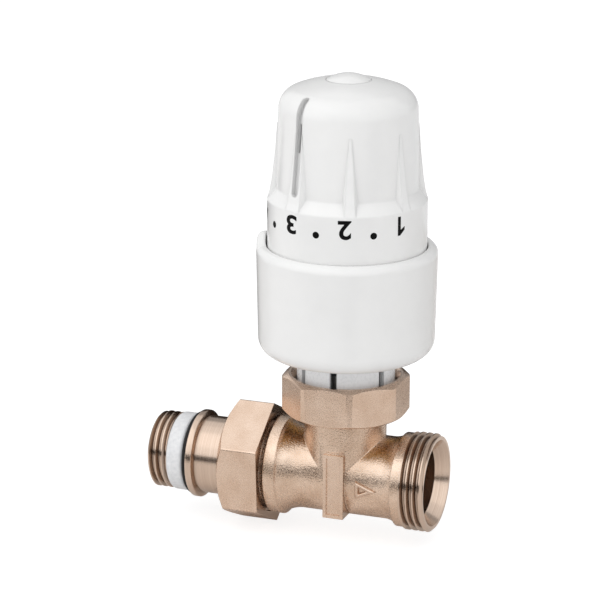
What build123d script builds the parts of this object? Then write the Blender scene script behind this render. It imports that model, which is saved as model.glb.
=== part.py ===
from build123d import *
from math import asin, cos, radians, sin, sqrt
import os

# A straight radiator return valve with a temperature limiting head, in millimetres.
# The origin is on the pipe axis, where the radiator thread ends at its sealing ring.
# X runs along the pipe from the radiator to the outlet, Z up the stem.

# Clearances
thread_clearance = 0.15
running_gap = 0.3
slide_fit = 0.1
seat_fit = 0.05

# Nuts
hexagon_sides = 6
octagon_sides = 8

# Radiator tailpiece, G 1/2 thread
tail_thread_r = 10.4775
tail_thread_length = 5.4
tail_bore_r = 8.0
tail_chamfer = 0.7
seal_width = 5.0
seal_r = 10.7
seal_floor_r = 9.2
seal_round = 1.2
backing_width = 1.2
backing_r = 11.3
shoulder_r = 12.0
shoulder_width = 1.85
shoulder_round = 0.5
barrel_r = 10.6
tail_flange_r = 11.95
tail_flange_width = 2.7

# Union nut, hexagon 30 across flats
union_wall = 1.78
union_x = 16.6
union_length = 11.7
union_lip = 2.2
union_turn = 33.6
union_face_step = 0.4
union_chamfer_length = 1.8
gasket_width = 1.5
gasket_bore_r = 8.6

# Valve body, G 3/4 threads at both ends
pipe_thread_r = 13.22
thread_chamfer = 0.7
stem_x = 48.3
run_r = 11.1
neck_r = 11.0
neck_top = 17.3
relief_r = 11.7
relief_start = 0.6
collar_x = 29.0
collar_width = 4.0
collar_r = 13.4
collar_round = 0.5
collar_step = 0.8
inlet_flare_length = 5.6
inlet_flare_sag = 0.3
flare_way = 0.4
outlet_x = 74.1
outlet_thread_length = 6.6
outlet_ring_width = 2.6
outlet_ring_step = 0.5
outlet_flare_r = 12.2
outlet_flare_length = 3.8
outlet_flare_sag = 0.35
mouth_r = 11.6
mouth_depth = 3.5
outlet_bore_r = 9.5
outlet_bore_end = 9.2
port_r = 3.0
port_z = 6.7
inlet_bore_r = 8.0
inlet_bore_end = 10.2
passage_r = 5.2
passage_drop = 3.5
seat_floor = 3.5
seat_height = 0.8
seat_width = 1.0
chamber_r = 8.6
insert_r = 9.1
pad_width = 5.7
pad_shift = 0.75
pad_top = 8.5
pad_bottom = -9.2
pad_front = 12.1
pad_depth = 8.0
pad_rim = 0.9
pad_recess = 0.5

# Valve insert with the M30 thread for the head
insert_bottom = 10.2
insert_gasket = 0.8
insert_gasket_r = 10.8
head_thread_r = 15.0
head_thread_length = 4.5
spring_bore_r = 5.0
spring_floor = 12.6
gland_bottom = 20.4
gland_flats = 11.0
gland_head = 2.6
stem_seal_r = 3.2
stem_seal_width = 1.3
stem_seal_lift = 0.9

# Stem, disc and return spring
stem_r = 1.9
stem_top = 28.5
stem_collar_r = 4.3
stem_collar_z = 18.8
stem_collar_width = 1.0
disc_lift = 2.2
disc_r = 6.6
disc_width = 1.6
washer_r = 6.4
washer_width = 1.5
disc_nut_flats = 5.5
disc_nut_width = 1.6
return_spring_r = 3.3
return_spring_wire = 0.7
return_spring_turns = 4

# Octagonal head nut, 32 across flats
head_nut_wall = 1.05
head_nut_bottom = 17.4
head_nut_top = 28.2
head_nut_bottom_step = 0.45
head_nut_turn = 22.5
head_nut_top_step = 0.75
head_nut_bottom_chamfer = 1.1
head_nut_top_chamfer = 1.2
head_nut_lip_z = 24.8
head_nut_funnel_z = 26.4
head_nut_funnel_wall = 0.6
head_nut_corner = 0.8

# Head base: slotted collet below, guide tube above
collet_r = 13.1
collet_wall = 1.5
collet_foot_r = 14.6
slit_width = 1.9
slit_angles = (-130.0, -85.7, -25.1)
slit_top = 35.2
plate_bottom = 36.6
plate_width = 2.0
plate_r = 19.5
guide_r = 11.8
guide_wall = 1.8
guide_rise = 0.4
guide_flange_gap = 0.4
guide_flange_width = 2.2
key_width = 3.0
key_reach = 1.2
key_slot_bottom = 47.0

# Shroud, a cup with an index lug on its rim
shroud_bottom = 34.05
shroud_wall = 2.65
shroud_taper = 0.64
shroud_foot_round = 4.5
shroud_rim_z = 63.75
shroud_rim_round = 2.2
shroud_lip_round = 0.3
lug_angle = -167.0
lug_height = 2.75
lug_half_angle = 15.5
lug_steps = 3
lug_inset = 0.15
lug_sink = 3.0

# Handwheel
dial_r = 21.05
skirt_depth = 20.3
skirt_wall = 2.45
dial_top = 76.3
ledge_rise = 3.15
ledge_width = 2.2
wheel_taper = 0.6
wheel_height = 20.75
wheel_shoulder_round = 5.8
dome_r = 40.0
wheel_wall = 2.6
wheel_inner_round = 3.0
sleeve_wall = 1.9
sleeve_rise = 4.55
rib_count = 8
rib_angle = -69.0
rib_foot_depth = 1.8
rib_foot_step = 0.05
rib_foot_half = 1.5
rib_foot_root_half = 2.1
rib_sections = ((2.0, 0.65, 1.3, 2.5), (6.0, 1.3, 1.1, 2.3), (13.0, 2.05, 0.8, 1.7), (20.0, 2.6, 0.3, 0.6))
rib_root_depth = 0.65
grip_width = 2.0
grip_rib_side = 0.85
grip_depth = 1.5
grip_rise = 0.5
grip_foot_step = 0.75
grip_lean = 52.0
vent_width = 0.45
vent_rise = 11.7
vent_length = 7.4
vent_shift = -0.45
cap_r = 5.85
cap_lift = 6.4
cap_depth = 1.2
cap_rise = 1.7
ring_width = 1.2
ring_depth = 1.0
ring_band = 2.4
ring_split = 9.0
ring_play = 0.15

# Sensor and its carrier
boss_r = 9.1
boss_bore_r = 5.0
boss_gap = 4.0
carrier_gap = 2.0
carrier_roof_width = 4.0
carrier_bottom = 52.0
key_bottom = 54.0
key_top = 70.0
sensor_r = 9.6
sensor_top = 66.0
sensor_shoulder = 53.5
sensor_nose_r = 7.5
sensor_bottom = 44.0
sensor_bore_depth = 3.6
overtravel_spring_r = 7.4
overtravel_spring_wire = 1.1
overtravel_spring_turns = 3
pin_r = 2.0
pin_reach = 2.0
conductor_foot_r = 9.4
conductor_foot_wall = 1.9
conductor_cup_top = 30.0
conductor_neck_r = 6.0
conductor_top = 42.7
conductor_bore_r = 2.6

# Places that follow from the sizes above
backing_x = seal_width
shoulder_x = backing_x + backing_width
barrel_x = shoulder_x + shoulder_width
flange_x = union_x + union_lip + running_gap
gasket_x = flange_x + tail_flange_width
inlet_x = gasket_x + gasket_width
union_end_x = union_x + union_length
union_flats = 2 * (pipe_thread_r + union_wall)
union_face_r = union_flats / 2 - union_face_step
head_nut_flats = 2 * (head_thread_r + head_nut_wall)
head_nut_bottom_r = head_nut_flats / 2 - head_nut_bottom_step
head_nut_top_r = head_nut_flats / 2 - head_nut_top_step
head_nut_funnel_r = head_nut_top_r - head_nut_funnel_wall
relief_x = union_end_x - relief_start
union_bore_r = barrel_r + running_gap
union_chamber_r = pipe_thread_r + thread_clearance
run_start_x = collar_x + collar_width + inlet_flare_length
outlet_thread_x = outlet_x - outlet_thread_length
outlet_ring_x = outlet_thread_x - outlet_ring_width
inlet_flare_x = collar_x + collar_width + inlet_flare_length * flare_way
inlet_flare_mid_r = run_r + (collar_r - collar_step - run_r) * inlet_flare_sag
outlet_flare_x = outlet_ring_x - outlet_flare_length * flare_way
outlet_flare_mid_r = run_r + (outlet_flare_r - run_r) * outlet_flare_sag
seat_top = seat_floor + seat_height
washer_bottom = seat_top + disc_lift
disc_bottom = washer_bottom + washer_width
head_thread_bottom = neck_top + insert_gasket
head_thread_top = head_thread_bottom + head_thread_length
stem_bore_r = stem_r + slide_fit
collet_inner_r = collet_r - collet_wall
guide_top = dial_top + guide_rise
skirt_bottom = dial_top - skirt_depth
ledge_top = dial_top + ledge_rise
wheel_shoulder_z = ledge_top + wheel_height
sleeve_bottom = ledge_top + sleeve_rise
carrier_top = sleeve_bottom - carrier_gap
carrier_roof = carrier_top - carrier_roof_width
cap_seat_z = wheel_shoulder_z + cap_lift
cap_edge_z = cap_seat_z + cap_depth
shroud_inner_r = dial_r + running_gap
shroud_top_r = shroud_inner_r + shroud_wall
shroud_foot_r = shroud_top_r - shroud_taper
collet_foot_top = head_nut_lip_z - running_gap
guide_outer_r = guide_r + guide_wall
skirt_inner_r = dial_r - skirt_wall
guide_flange_r = skirt_inner_r - guide_flange_gap
wheel_foot_r = dial_r - ledge_width
wheel_shoulder_r = wheel_foot_r - wheel_taper
rib_root_r = wheel_shoulder_r - rib_root_depth
rib_foot_r = dial_r - rib_foot_step
rib_outlines = [(0, dial_r - rib_foot_depth, rib_foot_r, rib_foot_half, rib_foot_root_half)]
for rise, ridge_step, ridge_half, root_half in rib_sections:
    rib_outlines.append((rise, rib_root_r, dial_r - ridge_step, ridge_half, root_half))
grip_foot_r = dial_r - grip_foot_step
ring_r = skirt_inner_r + ring_depth
ring_inner_r = ring_r - ring_band
ring_z = guide_top - guide_flange_width - running_gap - ring_width
carrier_r = guide_r - running_gap
carrier_bore_r = sensor_r + running_gap
sleeve_r = boss_r + thread_clearance
head_nut_chamber_r = head_thread_r + thread_clearance
head_nut_corner_r = head_nut_flats / 2 / cos(radians(180 / octagon_sides))
union_corner_r = union_flats / 2 / cos(radians(180 / hexagon_sides))
shoulder_centre_r = wheel_shoulder_r - wheel_shoulder_round
dome_lean = asin(shoulder_centre_r / (dome_r - wheel_shoulder_round))
dome_centre_z = wheel_shoulder_z - (dome_r - wheel_shoulder_round) * cos(dome_lean)
dome_edge_r = dome_r * sin(dome_lean)
dome_edge_z = dome_centre_z + dome_r * cos(dome_lean)
cap_hole_r = cap_r + seat_fit
cap_rim_z = dome_centre_z + sqrt(dome_r**2 - cap_hole_r**2)
wheel_roof_z = cap_seat_z - wheel_wall
boss_top = wheel_roof_z - boss_gap
grip_rib = rib_count - 1
grip_angle = rib_angle + grip_rib * 360 / rib_count
grip_bottom = ledge_top + grip_rise
grip_end_r = shoulder_centre_r + (wheel_shoulder_round - grip_depth) * cos(radians(grip_lean))
grip_end_z = wheel_shoulder_z + (wheel_shoulder_round - grip_depth) * sin(radians(grip_lean))
grip_brim_r = shoulder_centre_r + 2 * wheel_shoulder_round * cos(radians(grip_lean))
grip_brim_z = wheel_shoulder_z + 2 * wheel_shoulder_round * sin(radians(grip_lean))
vent_middle_z = ledge_top + vent_rise + vent_length / 2

stem_axis = Axis((stem_x, 0, 0), (0, 0, 1))
stem_section = Plane(origin=(stem_x, 0, 0), x_dir=(1, 0, 0), z_dir=(0, -1, 0))
stem_level = Plane(origin=(stem_x, 0, 0))

os.makedirs("parts", exist_ok=True)


def stem_radial(angle, radius):
    """The plane that stands across a radius of the stem axis, X to the right and Y up."""
    foot = Vector(1, 0, 0).rotate(Axis.Z, angle)
    across = Vector(0, 1, 0).rotate(Axis.Z, angle)
    return Plane(origin=Vector(stem_x, 0, 0) + foot * radius, x_dir=across, z_dir=foot)


def stem_slice(angle):
    """The plane that holds the stem axis and a radius of it, X along the radius and Y up."""
    along = Vector(1, 0, 0).rotate(Axis.Z, angle)
    across = Vector(0, -1, 0).rotate(Axis.Z, angle)
    return Plane(origin=(stem_x, 0, 0), x_dir=along, z_dir=across)


grip_slice = stem_slice(grip_angle)
grip_end_lean = grip_slice.x_dir * cos(radians(grip_lean)) + grip_slice.y_dir * sin(radians(grip_lean))
grip_end = Plane(origin=grip_slice.from_local_coords((grip_end_r, grip_end_z)), z_dir=grip_end_lean)

# Tailpiece: thread, seal groove, shoulder, barrel and the flange that the union nut pulls
with BuildPart() as tailpiece:
    with BuildSketch(Plane.XZ):
        with BuildLine():
            Polyline(
                (-tail_thread_length, tail_bore_r),
                (-tail_thread_length, tail_thread_r - tail_chamfer),
                (-tail_thread_length + tail_chamfer, tail_thread_r),
                (0, tail_thread_r),
                (0, seal_floor_r),
                (shoulder_x, seal_floor_r),
                (shoulder_x, shoulder_r),
                (barrel_x, shoulder_r),
                (barrel_x + shoulder_round, barrel_r),
                (flange_x, barrel_r),
                (flange_x, tail_flange_r),
                (gasket_x, tail_flange_r),
                (gasket_x, tail_bore_r),
                close=True,
            )
        make_face()
    revolve(axis=Axis.X)
    shoulder_edges = tailpiece.edges().filter_by(GeomType.CIRCLE).group_by(SortBy.RADIUS)[-1]
    fillet(shoulder_edges, radius=shoulder_round)
tailpiece.part.label = "tailpiece"
export_step(tailpiece.part, "parts/tailpiece.step")

# White sealing ring in the tailpiece groove
with BuildPart() as sealing_ring:
    with BuildSketch(Plane.XZ):
        with BuildLine():
            Polyline(
                (0, seal_floor_r + seat_fit),
                (0, seal_r),
                (seal_width, seal_r),
                (seal_width, seal_floor_r + seat_fit),
                close=True,
            )
        make_face()
    revolve(axis=Axis.X)
    rim_edges = sealing_ring.edges().filter_by(GeomType.CIRCLE).group_by(SortBy.RADIUS)[-1]
    fillet(rim_edges, radius=seal_round)
sealing_ring.part.label = "sealing_ring"
export_step(sealing_ring.part, "parts/sealing_ring.step")

# Black rubber ring that backs the sealing ring against the shoulder
with BuildPart() as backing_ring:
    with BuildSketch(Plane.XZ):
        with BuildLine():
            Polyline(
                (shoulder_x, backing_r - backing_width / 2),
                (shoulder_x, seal_floor_r + seat_fit),
                (backing_x, seal_floor_r + seat_fit),
                (backing_x, backing_r - backing_width / 2),
            )
            ThreePointArc(
                (backing_x, backing_r - backing_width / 2),
                (backing_x + backing_width / 2, backing_r),
                (shoulder_x, backing_r - backing_width / 2),
            )
        make_face()
    revolve(axis=Axis.X)
backing_ring.part.label = "backing_ring"
export_step(backing_ring.part, "parts/backing_ring.step")

# Flat gasket between the tailpiece flange and the body
with BuildPart() as union_gasket:
    with BuildSketch(Plane.YZ.offset(gasket_x)):
        Circle(tail_flange_r)
        Circle(gasket_bore_r, mode=Mode.SUBTRACT)
    extrude(amount=gasket_width)
union_gasket.part.label = "union_gasket"
export_step(union_gasket.part, "parts/union_gasket.step")

# Union nut: a hexagon bar, turned to a chamfer at the tail end and bored to a lip
with BuildPart() as union_nut:
    with BuildSketch(Plane.YZ.offset(union_x)):
        RegularPolygon(union_flats / 2, hexagon_sides, major_radius=False, rotation=union_turn)
    extrude(amount=union_length)
    with BuildSketch(Plane.XZ):
        with BuildLine():
            Polyline(
                (union_x, union_bore_r),
                (union_x, union_face_r),
                (union_x + union_chamfer_length, union_corner_r),
                (union_end_x, union_corner_r),
                (union_end_x, union_chamber_r),
                (union_x + union_lip, union_chamber_r),
                (union_x + union_lip, union_bore_r),
                close=True,
            )
        make_face()
    revolve(axis=Axis.X, mode=Mode.INTERSECT)
union_nut.part.label = "union_nut"
export_step(union_nut.part, "parts/union_nut.step")

# Valve body: the run and the neck cross, with the globe passage and seat inside
with BuildPart() as valve_body:
    with BuildSketch(Plane.XZ):
        with BuildLine():
            Polyline(
                (run_start_x, run_r),
                (run_start_x, 0),
                (inlet_x, 0),
                (inlet_x, pipe_thread_r - thread_chamfer),
                (inlet_x + thread_chamfer, pipe_thread_r),
                (relief_x, pipe_thread_r),
                (relief_x, relief_r),
                (collar_x, relief_r),
                (collar_x, collar_r - collar_round),
                (collar_x + collar_round, collar_r),
                (collar_x + collar_width - collar_round, collar_r),
                (collar_x + collar_width, collar_r - collar_step),
            )
            ThreePointArc(
                (collar_x + collar_width, collar_r - collar_step),
                (inlet_flare_x, inlet_flare_mid_r),
                (run_start_x, run_r),
            )
        make_face()
    revolve(axis=Axis.X)
    with BuildSketch(Plane.XZ):
        with BuildLine():
            Polyline(
                (outlet_ring_x, outlet_flare_r),
                (outlet_ring_x, outlet_flare_r + outlet_ring_step),
                (outlet_thread_x, outlet_flare_r + outlet_ring_step),
                (outlet_thread_x, pipe_thread_r),
                (outlet_x - thread_chamfer, pipe_thread_r),
                (outlet_x, pipe_thread_r - thread_chamfer),
                (outlet_x, 0),
                (run_start_x, 0),
                (run_start_x, run_r),
                (outlet_ring_x - outlet_flare_length, run_r),
            )
            ThreePointArc(
                (outlet_ring_x - outlet_flare_length, run_r),
                (outlet_flare_x, outlet_flare_mid_r),
                (outlet_ring_x, outlet_flare_r),
            )
        make_face()
    revolve(axis=Axis.X)
    with BuildSketch(stem_level):
        Circle(neck_r)
    extrude(amount=neck_top)
    with BuildSketch(Plane.XZ.offset(pad_front)):
        with Locations((stem_x + pad_shift, (pad_top + pad_bottom) / 2)):
            Rectangle(pad_width, pad_top - pad_bottom)
    extrude(amount=-pad_depth)
    with BuildSketch(Plane.XZ.offset(pad_front)):
        with Locations((stem_x + pad_shift, (pad_top + pad_bottom) / 2)):
            Rectangle(pad_width - 2 * pad_rim, pad_top - pad_bottom - 2 * pad_rim)
    extrude(amount=-pad_recess, mode=Mode.SUBTRACT)
    with BuildSketch(Plane.YZ.offset(inlet_x)):
        Circle(inlet_bore_r)
    extrude(amount=stem_x - inlet_bore_end - inlet_x, mode=Mode.SUBTRACT)
    with BuildSketch(Plane.YZ.offset(stem_x - inlet_bore_end)):
        with Locations((0, -passage_drop)):
            Circle(passage_r)
    extrude(amount=inlet_bore_end, mode=Mode.SUBTRACT)
    with BuildSketch(stem_level.offset(-passage_drop - passage_r)):
        Circle(passage_r)
    extrude(amount=passage_drop + passage_r + seat_floor, mode=Mode.SUBTRACT)
    with BuildSketch(stem_section):
        with BuildLine():
            Polyline(
                (0, seat_floor),
                (passage_r, seat_floor),
                (passage_r, seat_top),
                (passage_r + seat_width, seat_top),
                (passage_r + seat_width, seat_floor),
                (chamber_r, seat_floor),
                (chamber_r, insert_bottom),
                (insert_r, insert_bottom),
                (insert_r, neck_top),
                (0, neck_top),
                close=True,
            )
        make_face()
    revolve(axis=stem_axis, mode=Mode.SUBTRACT)
    with BuildSketch(Plane.XZ):
        with BuildLine():
            Polyline(
                (stem_x + outlet_bore_end, 0),
                (stem_x + outlet_bore_end, outlet_bore_r),
                (outlet_x - mouth_depth, outlet_bore_r),
                (outlet_x, mouth_r),
                (outlet_x, 0),
                close=True,
            )
        make_face()
    revolve(axis=Axis.X, mode=Mode.SUBTRACT)
    with BuildSketch(Plane.YZ.offset(stem_x)):
        with Locations((0, port_z)):
            Circle(port_r)
    extrude(amount=outlet_bore_end + port_r, mode=Mode.SUBTRACT)
valve_body.part.label = "valve_body"
export_step(valve_body.part, "parts/valve_body.step")

# Flat gasket between the neck and the insert
with BuildPart() as insert_gasket_ring:
    with BuildSketch(stem_level.offset(neck_top)):
        Circle(insert_gasket_r)
        Circle(insert_r, mode=Mode.SUBTRACT)
    extrude(amount=insert_gasket)
insert_gasket_ring.part.label = "insert_gasket"
export_step(insert_gasket_ring.part, "parts/insert_gasket.step")

# Valve insert: screwed into the neck, with the head thread outside and the spring bore inside
with BuildPart() as valve_insert:
    with BuildSketch(stem_section):
        with BuildLine():
            Polyline(
                (stem_bore_r, insert_bottom),
                (insert_r - seat_fit, insert_bottom),
                (insert_r - seat_fit, head_thread_bottom),
                (head_thread_r, head_thread_bottom),
                (head_thread_r, head_thread_top - thread_chamfer),
                (head_thread_r - thread_chamfer, head_thread_top),
                (spring_bore_r, head_thread_top),
                (spring_bore_r, spring_floor),
                (stem_bore_r, spring_floor),
                close=True,
            )
        make_face()
    revolve(axis=stem_axis)
valve_insert.part.label = "valve_insert"
export_step(valve_insert.part, "parts/valve_insert.step")

# Gland nut over the stem, with a groove for the stem seal
with BuildPart() as gland_nut:
    with BuildSketch(stem_level.offset(gland_bottom)):
        Circle(spring_bore_r - seat_fit)
    extrude(amount=head_thread_top - gland_bottom)
    with BuildSketch(stem_level.offset(head_thread_top)):
        RegularPolygon(gland_flats / 2, hexagon_sides, major_radius=False)
    extrude(amount=gland_head)
    with BuildSketch(stem_section):
        with BuildLine():
            Polyline(
                (0, gland_bottom),
                (stem_bore_r, gland_bottom),
                (stem_bore_r, gland_bottom + stem_seal_lift),
                (stem_seal_r, gland_bottom + stem_seal_lift),
                (stem_seal_r, gland_bottom + stem_seal_lift + stem_seal_width),
                (stem_bore_r, gland_bottom + stem_seal_lift + stem_seal_width),
                (stem_bore_r, head_thread_top + gland_head),
                (0, head_thread_top + gland_head),
                close=True,
            )
        make_face()
    revolve(axis=stem_axis, mode=Mode.SUBTRACT)
gland_nut.part.label = "gland_nut"
export_step(gland_nut.part, "parts/gland_nut.step")

# Rubber stem seal inside the gland nut
with BuildPart() as stem_seal:
    with BuildSketch(stem_level.offset(gland_bottom + stem_seal_lift)):
        Circle(stem_seal_r - seat_fit)
        Circle(stem_r + seat_fit, mode=Mode.SUBTRACT)
    extrude(amount=stem_seal_width)
stem_seal.part.label = "stem_seal"
export_step(stem_seal.part, "parts/stem_seal.step")

# Stem with the collar that the return spring lifts
with BuildPart() as valve_stem:
    with BuildSketch(stem_section):
        with BuildLine():
            Polyline(
                (0, washer_bottom - disc_nut_width),
                (stem_r, washer_bottom - disc_nut_width),
                (stem_r, stem_collar_z),
                (stem_collar_r, stem_collar_z),
                (stem_collar_r, stem_collar_z + stem_collar_width),
                (stem_r, stem_collar_z + stem_collar_width),
                (stem_r, stem_top),
                (0, stem_top),
                close=True,
            )
        make_face()
    revolve(axis=stem_axis)
valve_stem.part.label = "valve_stem"
export_step(valve_stem.part, "parts/valve_stem.step")

# Valve disc, its rubber washer and the nut that holds them on the stem
with BuildPart() as valve_disc:
    with BuildSketch(stem_level.offset(disc_bottom)):
        Circle(disc_r)
        Circle(stem_r + seat_fit, mode=Mode.SUBTRACT)
    extrude(amount=disc_width)
valve_disc.part.label = "valve_disc"
export_step(valve_disc.part, "parts/valve_disc.step")

with BuildPart() as disc_washer:
    with BuildSketch(stem_level.offset(washer_bottom)):
        Circle(washer_r)
        Circle(stem_r + seat_fit, mode=Mode.SUBTRACT)
    extrude(amount=washer_width)
disc_washer.part.label = "disc_washer"
export_step(disc_washer.part, "parts/disc_washer.step")

with BuildPart() as disc_nut:
    with BuildSketch(stem_level.offset(washer_bottom - disc_nut_width)):
        RegularPolygon(disc_nut_flats / 2, hexagon_sides, major_radius=False)
        Circle(stem_r + seat_fit, mode=Mode.SUBTRACT)
    extrude(amount=disc_nut_width)
disc_nut.part.label = "disc_nut"
export_step(disc_nut.part, "parts/disc_nut.step")

# Return spring between the insert and the stem collar, a square wire
with BuildPart() as return_spring:
    spring_rise = stem_collar_z - spring_floor - return_spring_wire
    with BuildLine(stem_level.offset(spring_floor + return_spring_wire / 2)) as return_coil:
        Helix(spring_rise / return_spring_turns, spring_rise, return_spring_r)
    with BuildSketch(Plane(origin=return_coil.wire() @ 0, z_dir=return_coil.wire() % 0)):
        Rectangle(return_spring_wire, return_spring_wire)
    sweep(is_frenet=True)
return_spring.part.label = "return_spring"
export_step(return_spring.part, "parts/return_spring.step")

# Octagonal head nut: chamfered both ways, with a lip over the collet foot and a funnel on top
with BuildPart() as head_nut:
    with BuildSketch(stem_level.offset(head_nut_bottom)):
        RegularPolygon(head_nut_flats / 2, octagon_sides, major_radius=False, rotation=head_nut_turn)
        chamfer(vertices(), length=head_nut_corner)
    extrude(amount=head_nut_top - head_nut_bottom)
    with BuildSketch(stem_section):
        with BuildLine():
            Polyline(
                (head_nut_chamber_r, head_nut_bottom),
                (head_nut_bottom_r, head_nut_bottom),
                (head_nut_corner_r, head_nut_bottom + head_nut_bottom_chamfer),
                (head_nut_corner_r, head_nut_top - head_nut_top_chamfer),
                (head_nut_top_r, head_nut_top),
                (head_nut_funnel_r, head_nut_top),
                (collet_r + running_gap, head_nut_funnel_z),
                (collet_r + running_gap, head_nut_lip_z),
                (head_nut_chamber_r, head_nut_lip_z),
                close=True,
            )
        make_face()
    revolve(axis=stem_axis, mode=Mode.INTERSECT)
head_nut.part.label = "head_nut"
export_step(head_nut.part, "parts/head_nut.step")

# Head base: slotted collet, plate under the shroud and guide tube for the sensor carrier
with BuildPart() as head_base:
    with BuildSketch(stem_section):
        with BuildLine():
            Polyline(
                (collet_inner_r, head_thread_top),
                (collet_foot_r, head_thread_top),
                (collet_foot_r, collet_foot_top),
                (collet_r, collet_foot_top),
                (collet_r, plate_bottom),
                (plate_r, plate_bottom),
                (plate_r, plate_bottom + plate_width),
                (guide_outer_r, plate_bottom + plate_width),
                (guide_outer_r, guide_top - guide_flange_width),
                (guide_flange_r, guide_top - guide_flange_width),
                (guide_flange_r, guide_top),
                (guide_r, guide_top),
                (guide_r, plate_bottom),
                (collet_inner_r, plate_bottom),
                close=True,
            )
        make_face()
    revolve(axis=stem_axis)
    for slit_angle in slit_angles:
        with BuildSketch(stem_level.offset(head_thread_top)):
            Rectangle(2 * collet_foot_r + slit_width, slit_width, rotation=slit_angle)
        extrude(amount=slit_top - head_thread_top, mode=Mode.SUBTRACT)
    with BuildSketch(stem_level.offset(key_slot_bottom)):
        Rectangle(key_width + 2 * running_gap, 2 * (guide_r + key_reach + running_gap))
    extrude(amount=guide_top - key_slot_bottom, mode=Mode.SUBTRACT)
head_base.part.label = "head_base"
export_step(head_base.part, "parts/head_base.step")

# Index lug: a low hump that swells out of the shroud rim and sinks back into it
with BuildPart() as index_lug:
    for step in range(-lug_steps, lug_steps + 1):
        lug_share = step / lug_steps
        lug_top = lug_height * cos(radians(90 * lug_share)) ** 2 - lug_inset
        with BuildSketch(stem_slice(lug_angle + lug_share * lug_half_angle)):
            with Locations((shroud_inner_r + shroud_wall / 2, shroud_rim_z + (lug_top - lug_sink) / 2)):
                Rectangle(shroud_wall - 2 * lug_inset, lug_top + lug_sink)
            fillet(vertices().group_by(Axis.Y)[-1].sort_by(Axis.X)[-1], radius=shroud_rim_round - lug_inset)
    loft()

# Shroud: a tapered cup with a rounded foot and rim, carrying the index lug
with BuildPart() as shroud:
    with BuildSketch(stem_section):
        with BuildLine():
            Polyline(
                (collet_r + seat_fit, shroud_bottom),
                (shroud_foot_r, shroud_bottom),
                (shroud_top_r, shroud_rim_z),
                (shroud_inner_r, shroud_rim_z),
                (shroud_inner_r, plate_bottom),
                (collet_r + seat_fit, plate_bottom),
                close=True,
            )
        make_face()
        corners = vertices()
        fillet(corners.group_by(Axis.Y)[0].sort_by(Axis.X)[-1], radius=shroud_foot_round)
        fillet(vertices().group_by(Axis.Y)[-1].sort_by(Axis.X)[-1], radius=shroud_rim_round)
        fillet(vertices().group_by(Axis.Y)[-1].sort_by(Axis.X)[0], radius=shroud_lip_round)
    revolve(axis=stem_axis)
    add(index_lug.part)
shroud.part.label = "shroud"
export_step(shroud.part, "parts/shroud.step")

# Grip slot: a groove of even depth up the ridge of one rib and over the shoulder, with round ends
with BuildPart() as grip_slot:
    with BuildSketch(grip_slice):
        with BuildLine():
            Polyline(
                (grip_foot_r - grip_depth, grip_bottom),
                (wheel_shoulder_r - grip_depth, wheel_shoulder_z),
                (grip_end_r, grip_end_z),
                (grip_brim_r, grip_brim_z),
                (dial_r, wheel_shoulder_z),
                (dial_r, grip_bottom),
                close=True,
            )
        make_face()
    extrude(amount=grip_width / 2, both=True)
    with BuildSketch(stem_radial(grip_angle, 0)):
        with Locations((0, (grip_bottom + grip_brim_z) / 2)):
            SlotOverall(grip_brim_z - grip_bottom, grip_width, rotation=90)
    extrude(amount=dial_r, mode=Mode.INTERSECT)
    with BuildSketch(grip_end):
        Circle(grip_width / 2)
    extrude(amount=wheel_shoulder_round)

# Handwheel: dial skirt, ledge, tapered wall and dome, with an inner threaded sleeve
with BuildPart() as handwheel:
    with BuildSketch(stem_section):
        with BuildLine():
            Polyline(
                (cap_hole_r, cap_rim_z),
                (cap_hole_r, cap_seat_z),
                (0, cap_seat_z),
                (0, wheel_roof_z),
                (sleeve_r, wheel_roof_z),
                (sleeve_r, sleeve_bottom),
                (sleeve_r + sleeve_wall, sleeve_bottom),
                (sleeve_r + sleeve_wall, wheel_roof_z),
                (wheel_shoulder_r - wheel_wall - wheel_inner_round, wheel_roof_z),
                (wheel_shoulder_r - wheel_wall, wheel_roof_z - wheel_inner_round),
                (wheel_foot_r - wheel_wall, guide_top + running_gap),
                (skirt_inner_r, guide_top + running_gap),
                (skirt_inner_r, ring_z + ring_width + ring_play),
                (ring_r + ring_play, ring_z + ring_width + ring_play),
                (ring_r + ring_play, ring_z - ring_play),
                (skirt_inner_r, ring_z - ring_play),
                (skirt_inner_r, skirt_bottom),
                (dial_r, skirt_bottom),
                (dial_r, dial_top),
                (wheel_foot_r, ledge_top),
                (wheel_shoulder_r, wheel_shoulder_z),
            )
            TangentArc((wheel_shoulder_r, wheel_shoulder_z), (dome_edge_r, dome_edge_z), tangent=(0, 1))
            TangentArc(
                (dome_edge_r, dome_edge_z),
                (cap_hole_r, cap_rim_z),
                tangent=(-cos(dome_lean), sin(dome_lean)),
            )
        make_face()
    revolve(axis=stem_axis)
    for rib in range(rib_count):
        rib_turn = rib_angle + rib * 360 / rib_count
        rib_side = grip_rib_side if rib == grip_rib else 0
        for rise, root_r, ridge_r, ridge_half, root_half in rib_outlines:
            with BuildSketch(Plane(origin=(stem_x, 0, dial_top + rise)).rotated((0, 0, rib_turn))):
                with BuildLine():
                    Polyline(
                        (root_r, -root_half - rib_side),
                        (ridge_r, -ridge_half - rib_side),
                        (ridge_r, ridge_half + rib_side),
                        (root_r, root_half + rib_side),
                        close=True,
                    )
                make_face()
        loft(ruled=True)
    add(grip_slot.part, mode=Mode.SUBTRACT)
    with BuildSketch(stem_radial(grip_angle, dial_r)):
        with Locations((vent_shift, vent_middle_z)):
            Rectangle(vent_width, vent_length)
    extrude(amount=-ledge_width - 2 * wheel_wall, mode=Mode.SUBTRACT)
handwheel.part.label = "handwheel"
export_step(handwheel.part, "parts/handwheel.step")

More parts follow.
